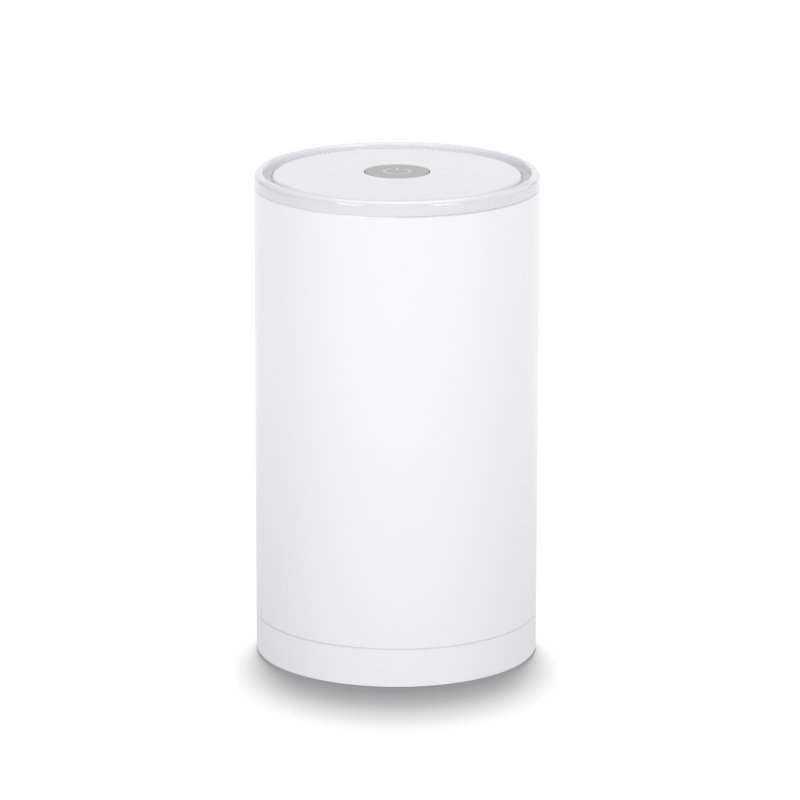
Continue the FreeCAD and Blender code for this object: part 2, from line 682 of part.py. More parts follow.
def control_board():
    """The round circuit board under the top disc."""
    board = cylinder(BOARD_R, BOARD_Z, BOARD_TOP)
    hole = cylinder(SMALL_SCREW_R + 0.2, BOARD_Z, BOARD_TOP, V(BOARD_POST_R, 0, 0))
    return board.cut(at_angles(hole, BOARD_SCREW_ANGLES))


def board_chips():
    """The controller, the motor driver and the voltage regulator."""
    return [
        box(-20, -13, -3.5, 3.5, BOARD_TOP, BOARD_TOP + 1.1),
        box(-2.5, 2.5, -21, -17, BOARD_TOP, BOARD_TOP + 1.5),
        box(8, 12, -19, -15.5, BOARD_TOP, BOARD_TOP + 1.4),
    ]


def board_capacitors():
    """Three round capacitors and a square coil."""
    cans = []
    for x, y in ((-9, -17.5), (15, 10), (-8, 17)):
        can = cylinder(2.5, BOARD_TOP, BOARD_TOP + 4.4, V(x, y, 0))
        cans.append(can.makeFillet(0.4, [e for e in can.Edges if e.BoundBox.ZMin > BOARD_TOP + 1]))
    return cans + [box(13.5, 18.5, -9.5, -4.5, BOARD_TOP, BOARD_TOP + 2.8)]


def board_connectors():
    """The shrouds that the two leads plug into, at the board's right and back edges."""
    shroud = box(BOARD_R - 5.5, BOARD_R - 0.8, -3, 3, BOARD_TOP, BOARD_TOP + 3.2)
    return at_angles(shroud, (0, 90))


def socket_board():
    """The small upright board that holds the power socket."""
    return box(
        -SOCKET_BOARD_HALF,
        SOCKET_BOARD_HALF,
        SOCKET_BOARD_Y,
        SOCKET_BOARD_Y + SOCKET_BOARD_T,
        SOCKET_BOARD_Z0,
        SOCKET_BOARD_Z1,
    )


def stadium(half_w, half_h, y0, y1):
    """A bar along Y with a flat-sided, round-ended section, centred on the socket."""
    side = half_w - half_h
    bar = box(-side, side, y0, y1, SOCKET_Z - half_h, SOCKET_Z + half_h)
    ends = [Part.makeCylinder(half_h, y1 - y0, V(x, y0, SOCKET_Z), V(0, 1, 0)) for x in (-side, side)]
    return joined(bar, *ends)


def socket_shell():
    """The socket's drawn-metal shell, open at its mouth."""
    y0 = SOCKET_BOARD_Y + SOCKET_BOARD_T
    outside = stadium(SOCKET_HALF_W, SOCKET_HALF_H, y0, SOCKET_MOUTH_Y)
    return outside.cut(stadium(SOCKET_HALF_W - 0.3, SOCKET_HALF_H - 0.3, y0 + 0.8, SOCKET_MOUTH_Y))


def socket_tongue():
    """The contact tongue inside the socket."""
    y0 = SOCKET_BOARD_Y + SOCKET_BOARD_T + 0.8
    return box(-3.3, 3.3, y0, SOCKET_MOUTH_Y - 0.9, SOCKET_Z - 0.35, SOCKET_Z + 0.35)


def lead_plug():
    """The plug at the power lead's lower end, on the socket board."""
    y0 = SOCKET_BOARD_Y + SOCKET_BOARD_T
    return box(-2.6, 2.6, y0, y0 + 3.2, SOCKET_Z + 2.2, SOCKET_Z + 5.6)


def power_lead():
    """The lead from the socket, up the inside of the wall and through the tray, to the control board."""
    wall_y = (DUCT_OUT + SHELL_IN) / 2
    plug_y = SOCKET_BOARD_Y + SOCKET_BOARD_T + 1.6
    rise = SOCKET_Z + 5.6
    route = [
        V(0, plug_y, rise),
        V(0, plug_y, rise + 12),
        V(0, wall_y, rise + 24),
        V(0, wall_y, TRAY_Z - 8),
        V(0, LEAD_HOLE_R, TRAY_Z - 6),
        V(0, LEAD_HOLE_R, CONNECTOR_Z),
        V(0, BOARD_R - 0.8, CONNECTOR_Z),
    ]
    return routed(route, LEAD_R)


def motor_lead():
    """The lead from the motor's board, through the hub and the tray, to the control board."""
    route = [
        V(MOTOR_LEAD_X, 0, MOTOR_BOARD_Z + MOTOR_BOARD_T),
        V(MOTOR_LEAD_X, 0, MOUNT_TOP),
        V(LEAD_HOLE_R, 0, TRAY_Z - 7),
        V(LEAD_HOLE_R, 0, CONNECTOR_Z),
        V(BOARD_R - 0.8, 0, CONNECTOR_Z),
    ]
    return routed(route, LEAD_R)


# ---------------------------------------------------------------- fan deck and duct


def fan_deck():
    """The plate over the filter, with the inlet throat that leads into the impeller."""
    lip_top = IMPELLER_Z - 0.9
    deck = revolve(
        [
            (THROAT_R, DECK_Z),
            (DECK_R, DECK_Z),
            (DECK_R, DECK_TOP),
            (THROAT_R + 1.5, DECK_TOP),
            (THROAT_R + 1.5, lip_top),
            (THROAT_R, lip_top),
        ]
    )
    deck = round_edges(deck, 1.4, (THROAT_R, DECK_Z))
    through = cylinder(SCREW_R + 0.2, DECK_Z, DECK_TOP, V(BOSS_R, 0, 0))
    pilot = cylinder(SCREW_R, DECK_Z, DECK_TOP, V(FAN_LUG_R, 0, 0))
    notch = box(-2.2, 2.2, DUCT_OUT - 0.2, BODY_R, DECK_Z, DECK_TOP)
    return deck.cut(at_angles(through, DECK_SCREW_ANGLES) + at_angles(pilot, FAN_SCREW_ANGLES) + [notch])


def fan_shroud():
    """The wall around the impeller, which widens into the duct, with three lugs for the rubber grommets."""
    z0, bend = DECK_TOP + 0.2, DECK_TOP + 12.8
    flare = bend + DUCT_R - SHROUD_R
    wall = revolve(
        [
            (SHROUD_R, z0),
            (SHROUD_R, bend),
            (DUCT_R, flare),
            (DUCT_R, MOUNT_Z),
            (DUCT_OUT, MOUNT_Z),
            (DUCT_OUT, flare - 0.8),
            (SHROUD_R + DUCT_WALL, bend - 0.8),
            (SHROUD_R + DUCT_WALL, z0),
        ]
    )
    centre = V(FAN_LUG_R, 0, 0)
    lug = cylinder(GROMMET_R + 0.4, FAN_LUG_Z0, FAN_LUG_Z1, centre)
    lug = lug.cut(cylinder(SHROUD_R + 0.5, FAN_LUG_Z0, FAN_LUG_Z1))
    hole = cylinder(2.5, FAN_LUG_Z0, FAN_LUG_Z1, centre)
    shroud = joined(wall, *at_angles(lug, FAN_SCREW_ANGLES))
    return shroud.cut(at_angles(hole, FAN_SCREW_ANGLES))


def rubber_grommets():
    """Spool-shaped rubber mounts that keep the fan's hum out of the housing."""
    spool = revolve(
        [
            (1.5, DECK_TOP),
            (GROMMET_R, DECK_TOP),
            (GROMMET_R, FAN_LUG_Z0),
            (2.5, FAN_LUG_Z0),
            (2.5, FAN_LUG_Z1),
            (GROMMET_R, FAN_LUG_Z1),
            (GROMMET_R, FAN_LUG_Z1 + 1.0),
            (1.5, FAN_LUG_Z1 + 1.0),
        ]
    )
    spool.translate(V(FAN_LUG_R, 0, 0))
    return at_angles(spool, FAN_SCREW_ANGLES)


def fan_screws():
    """Three screws through the grommets into the deck."""
    at = V(FAN_LUG_R, 0, FAN_LUG_Z1 + 1.0)
    screw = pan_screw(SCREW_R, SCREW_HEAD_R, SCREW_HEAD_H, at.z - DECK_Z - 0.2, at, False)
    return at_angles(screw, FAN_SCREW_ANGLES)


def deck_screws():
    """Three screws from below, through the deck, into the housing's bosses."""
    screw = pan_screw(SCREW_R, SCREW_HEAD_R, SCREW_HEAD_H, 10.0, V(BOSS_R, 0, DECK_Z), True)
    return at_angles(screw, DECK_SCREW_ANGLES)


def disc_screws():
    """Four screws from below, through the tray, into the top disc."""
    at = V(DISC_SCREW_R, 0, TRAY_Z)
    screw = pan_screw(SCREW_R, SCREW_HEAD_R, SCREW_HEAD_H, 9.5, at, True)
    return at_angles(screw, DISC_SCREW_ANGLES)


def board_screws():
    """Three small screws that hold the control board."""
    at = V(BOARD_POST_R, 0, BOARD_TOP)
    screw = pan_screw(SMALL_SCREW_R, SMALL_HEAD_R, SMALL_HEAD_H, 4.0, at, False)
    return at_angles(screw, BOARD_SCREW_ANGLES)


def vane(z0, z1):
    """A guide vane between hub and duct that leans against the swirl and straightens towards its top."""
    lean, thickness, inner = 7.0, 1.5, HUB_R - HUB_WALL / 2
    foot, bulge, head = V(inner, -lean, z0), V(inner, -lean * 0.23, z0 + (z1 - z0) * 0.4), V(inner, 0, z1)
    side = Part.Arc(foot, bulge, head).toShape()
    sheet = side.extrude(V(0, thickness, 0)).extrude(V(DUCT_R - HUB_R + HUB_WALL, 0, 0))
    return sheet.common(tube(HUB_R - 0.4, DUCT_R + 0.4, z0, z1))


def motor_mount():
    """The hub that carries the motor, the guide vanes and the outer ring of the duct."""
    wall_in = HUB_R - HUB_WALL
    hub_z0 = IMPELLER_TOP + 0.6
    hub = revolve(
        [
            (BEARING_TUBE_R, HUB_FLOOR),
            (wall_in, HUB_FLOOR),
            (wall_in, hub_z0),
            (HUB_R, hub_z0),
            (HUB_R, MOUNT_TOP),
            (wall_in, MOUNT_TOP),
            (wall_in, HUB_FLOOR + 2.0),
            (BEARING_TUBE_R, HUB_FLOOR + 2.0),
        ]
    )
    ring = tube(DUCT_R, DUCT_OUT, MOUNT_Z, MOUNT_TOP)
    post = cylinder(1.5, MOTOR_BOARD_Z + MOTOR_BOARD_T, HUB_FLOOR, V(10.5, 0, 0))
    vanes = around(vane(MOUNT_Z + 0.2, MOUNT_TOP - 1.5), VANES)
    mount = joined(hub, ring, *vanes, *around(post, 3, 60))
    return mount.cut(cylinder(LEAD_R + 0.6, HUB_FLOOR, HUB_FLOOR + 2, V(MOTOR_LEAD_X, 0, 0)))


# ---------------------------------------------------------------- motor


def bearing_tube():
    """The brass tube that holds both bearings, pressed into the hub."""
    tube_z0, tube_z1 = LOWER_BEARING_Z - 0.3, HUB_FLOOR + 1.6
    return tube(BEARING_R, BEARING_TUBE_R, tube_z0, tube_z1)


def race_groove(z):
    """The ring that the balls' tracks are cut from."""
    return Part.makeTorus(BALL_CIRCLE, RACE_R, V(0, 0, z + BEARING_H / 2))


def outer_races():
    """The outer rings of both bearings."""
    levels = (LOWER_BEARING_Z, UPPER_BEARING_Z)
    return [tube(OUTER_RACE_R, BEARING_R, z, z + BEARING_H).cut(race_groove(z)) for z in levels]


def inner_races():
    """The inner rings of both bearings, which turn with the shaft."""
    levels = (LOWER_BEARING_Z, UPPER_BEARING_Z)
    return [tube(SHAFT_R, INNER_RACE_R, z, z + BEARING_H).cut(race_groove(z)) for z in levels]


def bearing_balls():
    """Seven balls in each bearing."""
    balls = []
    for z in (LOWER_BEARING_Z, UPPER_BEARING_Z):
        ball = Part.makeSphere(BALL_R, V(BALL_CIRCLE, 0, z + BEARING_H / 2))
        balls += around(ball, 7)
    return balls


def core_plate(z0, z1, inset):
    """A layer of the stator: the hub, nine teeth and their shoes, shrunk by inset."""
    hub = tube(BEARING_TUBE_R + inset, 7.6 - inset, z0, z1)
    half = TOOTH_W / 2 - inset
    tooth = box(7.0, STATOR_R - 1.0, -half, half, z0, z1)
    shoe_half = 15.5 - inset * 3
    sector = prism([ORIGIN, polar(20, -shoe_half), polar(20, shoe_half)], z0, z1)
    shoe = tube(STATOR_R - 1.4, STATOR_R - inset, z0, z1).common(sector)
    return joined(hub, *around(tooth, TEETH), *around(shoe, TEETH))


def stator_insulator():
    """The plastic end plates on both sides of the core."""
    lower = core_plate(STATOR_Z0 - END_PLATE_T, STATOR_Z0, 0.1)
    upper = core_plate(STATOR_Z1, STATOR_Z1 + END_PLATE_T, 0.1)
    return [lower, upper]


def stator_windings():
    """Nine coils of copper wire, one on each tooth."""
    half = TOOTH_W / 2
    z0, z1 = STATOR_Z0 - END_PLATE_T, STATOR_Z1 + END_PLATE_T
    coil = box(8.0, 11.4, -half - 1.1, half + 1.1, z0 - 1.0, z1 + 1.0)
    coil = coil.makeFillet(0.9, [e for e in coil.Edges if is_along_x(e)])
    return around(coil.cut(box(8.0, 11.4, -half, half, z0, z1)), TEETH)


def is_along_x(edge):
    """True for a straight edge that runs along X."""
    a, b = edge.Vertexes[0].Point, edge.Vertexes[-1].Point
    return abs(a.y - b.y) + abs(a.z - b.z) < 1e-6


def motor_board():
    """The ring-shaped board over the coils."""
    return tube(BEARING_TUBE_R + 0.3, 13.4, MOTOR_BOARD_Z, MOTOR_BOARD_Z + MOTOR_BOARD_T)


def rotor_can():
    """The steel cup of the rotor, with the boss that grips the shaft."""
    return revolve(
        [
            (SHAFT_R, ROTOR_Z),
            (ROTOR_R, ROTOR_Z),
            (ROTOR_R, IMPELLER_TOP - 0.6),
            (ROTOR_R - ROTOR_T, IMPELLER_TOP - 0.6),
            (ROTOR_R - ROTOR_T, ROTOR_Z + 1.2),
            (2.8, ROTOR_Z + 1.2),
            (2.8, LOWER_BEARING_Z - 0.5),
            (SHAFT_R, LOWER_BEARING_Z - 0.5),
        ]
    )


def magnet_ring():
    """The bonded magnet inside the rotor's cup."""
    return tube(STATOR_R + 0.6, ROTOR_R - ROTOR_T, STATOR_Z0 - 1.5, STATOR_Z1 + 1.5)


def motor_shaft():
    """The hardened shaft, grooved near its top for the clip."""
    shaft = cylinder(SHAFT_R, ROTOR_Z, HUB_FLOOR + 1.2)
    ends = [e for e in shaft.Edges if isinstance(e.Curve, Part.Circle)]
    return shaft.makeChamfer(0.2, ends).cut(tube(1.15, 2.0, CLIP_Z, CLIP_Z + CLIP_T))


def shaft_washer():
    """The thin washer under the clip."""
    return tube(SHAFT_R + 0.02, 2.2, UPPER_BEARING_Z + BEARING_H, CLIP_Z)


def retaining_clip():
    """The open clip in the shaft's groove."""
    mouth = prism([ORIGIN, polar(5, -38), polar(5, 38)], CLIP_Z, CLIP_Z + CLIP_T)
    return tube(1.16, 2.7, CLIP_Z, CLIP_Z + CLIP_T).cut(mouth)


def impeller_blade(z0, z1):
    """A blade that curves backwards from the hub's side to the rim."""
    a, b = polar(BLADE_IN, 0), polar(BLADE_OUT, -BLADE_SWEEP)
    bulge = polar((BLADE_IN + BLADE_OUT) / 2 + 0.4, -BLADE_SWEEP * 0.36)
    curve = Part.Arc(a, bulge, b).toShape().Curve
    centre, radius = curve.Center, curve.Radius
    sides = []
    for r in (radius - BLADE_T / 2, radius + BLADE_T / 2):
        sides.append([centre + (p - centre) * (r / radius) for p in (a, bulge, b)])
    near, far = sides
    edges = [
        Part.Arc(*near).toShape(),
        Part.LineSegment(near[2], far[2]).toShape(),
        Part.Arc(*reversed(far)).toShape(),
        Part.LineSegment(far[0], near[0]).toShape(),
    ]
    blade = Part.Face(Part.Wire(edges)).extrude(V(0, 0, z1 - z0))
    blade.translate(V(0, 0, z0))
    return blade


def impeller():
    """The fan wheel: a round-nosed hub over the rotor, a back plate, nine blades and an inlet ring."""
    hub_in, hub_out = ROTOR_R + 0.05, ROTOR_R + 1.5
    plate_z = IMPELLER_TOP - 1.6
    hub = revolve(
        [
            (0, IMPELLER_Z - 0.5),
            (hub_out - 4.0, IMPELLER_Z - 0.5),
            (hub_out, IMPELLER_Z + 3.5),
            (hub_out, plate_z),
            (BLADE_R_MAX, plate_z),
            (BLADE_R_MAX, IMPELLER_TOP),
            (hub_in, IMPELLER_TOP),
            (hub_in, ROTOR_Z - 0.05),
            (0, ROTOR_Z - 0.05),
        ]
    )
    hub = round_edges(hub, 2.0, (hub_out - 4.0, IMPELLER_Z - 0.5), (hub_out, IMPELLER_Z + 3.5))
    eye = THROAT_R + 2.4
    cone = [(eye, IMPELLER_Z - 0.3), (eye + 1.2, IMPELLER_Z - 0.3), (BLADE_OUT, IMPELLER_Z + 4.2)]
    inlet_ring = revolve(cone + [(BLADE_OUT, IMPELLER_Z + 5.6), (eye, IMPELLER_Z + 1.6)])
    over_cone = revolve(
        [
            (0, IMPELLER_Z + 1.5),
            (eye + 0.6, IMPELLER_Z + 1.5),
            (BLADE_OUT, IMPELLER_Z + 5.0),
            (BLADE_R_MAX, IMPELLER_Z + 5.0),
            (BLADE_R_MAX, plate_z + 0.5),
            (0, plate_z + 0.5),
        ]
    )
    blade = impeller_blade(IMPELLER_Z, plate_z + 1).common(over_cone)
    return joined(hub, inlet_ring, *around(blade, BLADES))


# ---------------------------------------------------------------- nodes
def nodes():
    """Every node's name and its solids."""
    return {
        "base_ring": base_ring(),
        "inlet_plate": inlet_plate(),
        "inlet_plate_screws": plate_screws(),
        "rubber_feet": rubber_feet(),
        "base_magnets": at_angles(magnet(BASE_MAGNET_Z), MAGNET_ANGLES),
        "filter_lower_cap": filter_lower_cap(),
        "filter_upper_cap": filter_upper_cap(),
        "filter_media": filter_media(),
        "filter_core": filter_core(),
        "filter_carbon_sleeve": tube(CARBON_IN, CARBON_OUT, STACK_Z0, STACK_Z1),
        "filter_net": tube(NET_IN, NET_OUT, STACK_Z0, STACK_Z1),
        "filter_seal": tube(CORE_IN + 1.4, CORE_IN + 10.4, FILTER_TOP, FILTER_TOP + SEAL_H),
        "outer_shell": outer_shell(),
        "housing_magnets": at_angles(magnet(HOUSING_MAGNET_Z), MAGNET_ANGLES),
        "top_ring": top_ring(),
        "outlet_grille": outlet_grille(),
        "top_disc": top_disc(),
        "disc_screws": disc_screws(),
        "power_button": power_button(),
        "button_symbol": symbol_solids(0.03),
        "button_spring": button_spring(),
        "switch_body": switch_body(),
        "switch_plunger": switch_plunger(),
        "control_board": control_board(),
        "board_chips": board_chips(),
        "board_capacitors": board_capacitors(),
        "board_connectors": board_connectors(),
        "board_screws": board_screws(),
        "socket_board": socket_board(),
        "socket_shell": socket_shell(),
        "socket_tongue": socket_tongue(),
        "power_lead_plug": lead_plug(),
        "power_lead": power_lead(),
        "motor_lead": motor_lead(),
        "fan_deck": fan_deck(),
        "deck_screws": deck_screws(),
        "fan_shroud": fan_shroud(),
        "rubber_grommets": rubber_grommets(),
        "fan_screws": fan_screws(),
        "motor_mount": motor_mount(),
        "bearing_tube": bearing_tube(),
        "bearing_outer_races": outer_races(),
        "bearing_inner_races": inner_races(),
        "bearing_balls": bearing_balls(),
        "stator_core": core_plate(STATOR_Z0, STATOR_Z1, 0.0),
        "stator_insulator": stator_insulator(),
        "stator_windings": stator_windings(),
        "motor_board": motor_board(),
        "rotor_can": rotor_can(),
        "magnet_ring": magnet_ring(),
        "motor_shaft": motor_shaft(),
        "shaft_washer": shaft_washer(),
        "retaining_clip": retaining_clip(),
        "impeller": impeller(),
    }


def main():
    """Writes one STEP file for each node."""
    os.makedirs("parts", exist_ok=True)
    for name, made in nodes().items():
        solids = []
        for shape in made if isinstance(made, list) else [made]:
            solids += shape.Solids
        for solid in solids:
            if not solid.isValid() or solid.Volume <= 0:
                print(f"{name}: a solid isn't valid")
        whole = solids[0] if len(solids) == 1 else Part.makeCompound(solids)
        whole.exportStep(f"parts/{name}.step")
        print(f"{name}: {len(solids)} solids, {whole.Volume:.1f} mm3")


main()
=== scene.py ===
"""Looks of the desktop air purifier: materials, fine filter and spring shapes, studio and camera.

Everything is in metres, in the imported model's frame: Z up, feet on Z = 0, front towards -Y.
"""

import math
import random

import bpy
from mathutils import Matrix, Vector


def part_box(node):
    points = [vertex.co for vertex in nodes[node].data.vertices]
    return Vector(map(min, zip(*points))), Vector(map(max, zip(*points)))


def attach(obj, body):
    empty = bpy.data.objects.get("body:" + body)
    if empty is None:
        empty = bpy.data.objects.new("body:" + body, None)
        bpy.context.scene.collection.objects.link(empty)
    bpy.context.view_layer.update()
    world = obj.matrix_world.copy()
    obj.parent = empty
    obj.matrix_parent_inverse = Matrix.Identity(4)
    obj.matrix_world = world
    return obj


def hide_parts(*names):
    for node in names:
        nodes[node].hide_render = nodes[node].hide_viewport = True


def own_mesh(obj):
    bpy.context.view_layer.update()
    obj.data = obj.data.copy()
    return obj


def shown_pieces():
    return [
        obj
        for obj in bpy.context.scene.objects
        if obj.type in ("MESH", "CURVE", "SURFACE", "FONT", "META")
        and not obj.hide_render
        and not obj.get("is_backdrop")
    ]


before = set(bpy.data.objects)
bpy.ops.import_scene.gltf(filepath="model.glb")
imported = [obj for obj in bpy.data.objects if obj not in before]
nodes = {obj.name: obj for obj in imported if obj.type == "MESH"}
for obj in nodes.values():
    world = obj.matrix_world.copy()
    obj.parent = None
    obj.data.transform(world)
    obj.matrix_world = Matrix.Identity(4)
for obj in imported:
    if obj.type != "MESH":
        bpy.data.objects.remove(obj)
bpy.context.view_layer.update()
scene = bpy.context.scene

MM = 0.001
WAVE_PERIOD = math.pi / 10  # from band to band in a wave texture of scale 1


# ---------------------------------------------------------------- material helpers
class Surface:
    """A node material around one Principled shader, with helpers for procedural detail.

    Texture coordinates are the object's own, in metres, so that a detail's size is its real size.
    """

    def __init__(self, name, **sockets):
        self.material = bpy.data.materials.new(name)
        self.material.use_nodes = True
        self.tree = self.material.node_tree
        self.shader = self.tree.nodes["Principled BSDF"]
        for socket, value in sockets.items():
            self.shader.inputs[socket.replace("_", " ")].default_value = value
        self.place = self.tree.nodes.new("ShaderNodeTexCoord").outputs["Object"]
        self.normal = None

    def add(self, kind, inputs, **settings):
        """A new node, with its settings and its inputs: values, or outputs to link."""
        node = self.tree.nodes.new(kind)
        for name, value in settings.items():
            setattr(node, name, value)
        for name, value in inputs.items():
            if isinstance(value, bpy.types.NodeSocket):
                self.tree.links.new(value, node.inputs[name])
            else:
                node.inputs[name].default_value = value
        return node

    def stretched(self, x, y, z):
        """The coordinates with each axis scaled."""
        values = {"Vector": self.place, "Scale": (x, y, z)}
        return self.add("ShaderNodeMapping", values).outputs["Vector"]

    def noise(self, size, detail=2.0, place=None, roughness=0.5):
        """Soft noise whose features are about size metres across."""
        values = {"Vector": place or self.place, "Scale": 1 / size}
        values.update({"Detail": detail, "Roughness": roughness})
        return self.add("ShaderNodeTexNoise", values).outputs["Fac"]

    def cells(self, size):
        """Distance inside random cells about size metres across."""
        values = {"Vector": self.place, "Scale": 1 / size}
        return self.add("ShaderNodeTexVoronoi", values).outputs["Distance"]

    def waves(self, size, distortion, **kind):
        """A wave texture, size metres from one wave to the next."""
        values = {"Vector": self.place, "Scale": WAVE_PERIOD / size, "Distortion": distortion}
        return self.add("ShaderNodeTexWave", values, **kind).outputs["Fac"]

    def bands(self, size, direction="Z", distortion=0.0):
        """Evenly spaced bands, size metres from one to the next."""
        return self.waves(size, distortion, bands_direction=direction)

    def rings(self, size, distortion):
        """Evenly spaced rings about Z, size metres from one to the next."""
        return self.waves(size, distortion, wave_type="RINGS", rings_direction="Z")

    def ranged(self, value, low, high, start=0.0, end=1.0):
        """A value mapped from start..end to low..high."""
        inputs = {"Value": value, "From Min": start, "From Max": end, "To Min": low, "To Max": high}
        return self.add("ShaderNodeMapRange", inputs).outputs["Result"]

    def mixed(self, factor, first, second):
        """A colour between two, by a factor."""
        node = self.add("ShaderNodeMix", {"Factor": factor}, data_type="RGBA")
        for index, colour in ((6, first), (7, second)):
            if isinstance(colour, bpy.types.NodeSocket):
                self.tree.links.new(colour, node.inputs[index])
            else:
                node.inputs[index].default_value = (*colour, 1.0)
        return node.outputs[2]

    def colour(self, value):
        """Links the shader's colour."""
        self.tree.links.new(value, self.shader.inputs["Base Color"])
        return self

    def rough(self, value):
        """Links the shader's roughness."""
        self.tree.links.new(value, self.shader.inputs["Roughness"])
        return self

    def bump(self, height, depth):
        """Adds a bump whose full height is depth metres."""
        inputs = {"Height": height, "Distance": depth, "Strength": 1.0}
        if self.normal is not None:
            inputs["Normal"] = self.normal
        self.normal = self.add("ShaderNodeBump", inputs).outputs["Normal"]
        self.tree.links.new(self.normal, self.shader.inputs["Normal"])
        return self


def tinted(colour, factor):
    """A colour made lighter or darker."""
    return tuple(c * factor for c in colour)


# ---------------------------------------------------------------- materials
WHITE = (0.86, 0.855, 0.885)
# painted shade: the grey that the top ring's outer band is coloured
RING_BAND_SHADE = (0.72, 0.71, 0.745)
SATIN_WHITE = (0.86, 0.86, 0.88)
LIGHT_GREY = (0.60, 0.60, 0.62)
BUTTON_GREY = (0.50, 0.475, 0.48)
DARK_GREY = (0.045, 0.045, 0.048)


def gloss_plastic(name, colour):
    """Polished moulded plastic: faint flow variation, a very shallow ripple, and uneven gloss."""
    s = Surface(name, IOR=1.5, Coat_Weight=0.15, Coat_Roughness=0.06)
    flow = s.noise(0.06, 3.0)
    s.colour(s.mixed(s.ranged(flow, 0.0, 1.0, 0.3, 0.7), tinted(colour, 0.985), colour))
    smear = s.noise(0.012, 4.0, s.stretched(1, 1, 0.35))
    s.rough(s.ranged(smear, 0.17, 0.24, 0.3, 0.7))
    s.bump(s.noise(0.004, 2.0), 0.000006)
    return s.material


def rim_plastic(name):
    """The top ring's polished plastic: white on the crest and inside, with painted shade that
    colours its outer band greyer.
    """
    outer_radius = radius_of("top_ring")
    s = Surface(name, IOR=1.5, Coat_Weight=0.3, Coat_Roughness=0.05)
    flat = {0: s.stretched(1, 1, 0)}
    radius = s.add("ShaderNodeVectorMath", flat, operation="LENGTH").outputs["Value"]
    # mask of the painted shade: the ring's outer band, found by radius
    outside = s.ranged(radius, 0.0, 1.0, outer_radius - 0.8 * MM, outer_radius - 0.1 * MM)
    flow = s.noise(0.05, 3.0)
    tone = s.mixed(s.ranged(flow, 0.0, 1.0, 0.3, 0.7), tinted(WHITE, 0.985), WHITE)
    s.colour(s.mixed(outside, tone, RING_BAND_SHADE))
    smear = s.noise(0.012, 4.0, s.stretched(1, 1, 0.35))
    s.rough(s.ranged(smear, 0.06, 0.10, 0.3, 0.7))
    s.bump(s.noise(0.004, 2.0), 0.000004)
    return s.material


def satin_plastic(name, colour, grain=0.0007, depth=0.00002, low=0.42, high=0.56):
    """Moulded plastic from a spark-eroded tool: a fine pebble grain and slight colour patches."""
    s = Surface(name, IOR=1.48)
    pebble = s.noise(grain, 3.0, roughness=0.6)
    patch = s.noise(0.03, 2.0)
    shade = s.mixed(s.ranged(pebble, 0.0, 1.0, 0.35, 0.65), tinted(colour, 0.93), colour)
    s.colour(s.mixed(s.ranged(patch, 0.0, 0.35, 0.3, 0.7), shade, tinted(colour, 0.96)))
    s.rough(s.ranged(pebble, low, high, 0.3, 0.7))
    s.bump(pebble, depth)
    return s.material


def steel(name, colour, low=0.24, high=0.42):
    """Plated or ground steel with uneven shine and fine scratches."""
    s = Surface(name, Metallic=1.0)
    stain = s.noise(0.003, 4.0)
    s.colour(s.mixed(s.ranged(stain, 0.0, 1.0, 0.35, 0.65), tinted(colour, 0.82), colour))
    scratch = s.noise(0.0004, 2.0, s.stretched(1, 1, 5))
    s.rough(s.ranged(scratch, low, high, 0.3, 0.7))
    s.bump(scratch, 0.000004)
    return s.material


def turned_metal(name, colour):
    """Metal with fine rings left by the lathe."""
    s = Surface(name, Metallic=1.0)
    ring = s.rings(0.00035, 0.4)
    lay = s.bands(0.0003, "Z", 0.8)
    s.colour(s.mixed(s.noise(0.002, 3.0), tinted(colour, 0.85), colour))
    s.rough(s.ranged(ring, 0.2, 0.34))
    s.bump(lay, 0.000005).bump(ring, 0.000004)
    return s.material


def laminated_steel(name):
    """A stack of stamped sheets: dark gaps every half millimetre."""
    s = Surface(name, Metallic=0.85)
    sheets = s.bands(0.0005, "Z")
    gap = s.ranged(sheets, 0.0, 1.0, 0.0, 0.25)
    s.colour(s.mixed(gap, (0.05, 0.05, 0.055), (0.36, 0.36, 0.38)))
    s.rough(s.ranged(s.noise(0.001, 2.0), 0.38, 0.6))
    s.bump(gap, 0.00005)
    return s.material


def wound_copper(name):
    """Enamelled wire that lies turn beside turn, with painted shade darkening the grooves between
    turns.
    """
    s = Surface(name, Metallic=0.9, Coat_Weight=0.6, Coat_Roughness=0.12)
    turns = s.bands(0.00032, "DIAGONAL", 0.6)
    # painted shade: dark in the grooves between turns, light on their crowns
    s.colour(s.mixed(turns, (0.20, 0.06, 0.02), (0.72, 0.28, 0.10)))
    s.rough(s.ranged(turns, 0.22, 0.4))
    s.bump(turns, 0.00009)
    return s.material


def rubber(name, colour):
    """Matt rubber with a fine bloom."""
    s = Surface(name, IOR=1.52)
    bloom = s.noise(0.0012, 5.0, roughness=0.7)
    s.colour(s.mixed(s.ranged(bloom, 0.0, 1.0, 0.35, 0.7), colour, tinted(colour, 2.2)))
    s.rough(s.ranged(bloom, 0.62, 0.85, 0.3, 0.7))
    s.bump(s.noise(0.0003, 2.0), 0.00002)
    return s.material


def sheath(name, colour):
    """A lead's extruded sheath: smooth along its length, with slight smears."""
    s = Surface(name, IOR=1.5)
    s.colour(s.mixed(s.noise(0.004, 3.0), tinted(colour, 0.8), colour))
    s.rough(s.ranged(s.noise(0.0015, 3.0, s.stretched(1, 1, 0.2)), 0.34, 0.5))
    s.bump(s.noise(0.001, 1.0), 0.00001)
    return s.material


def foam(name):
    """Open-cell foam: small round pores of two sizes, with painted shade darkening the larger
    pores.
    """
    s = Surface(name)
    pores = s.cells(0.0007)
    small = s.cells(0.0003)
    # painted shade: the larger pores are darkened towards their middles
    shade = s.ranged(pores, 0.0, 1.0, 0.1, 0.7)
    s.colour(s.mixed(shade, (0.012, 0.012, 0.013), (0.075, 0.075, 0.08)))
    s.rough(s.ranged(small, 0.8, 0.98))
    s.bump(pores, 0.0003).bump(small, 0.0001)
    return s.material


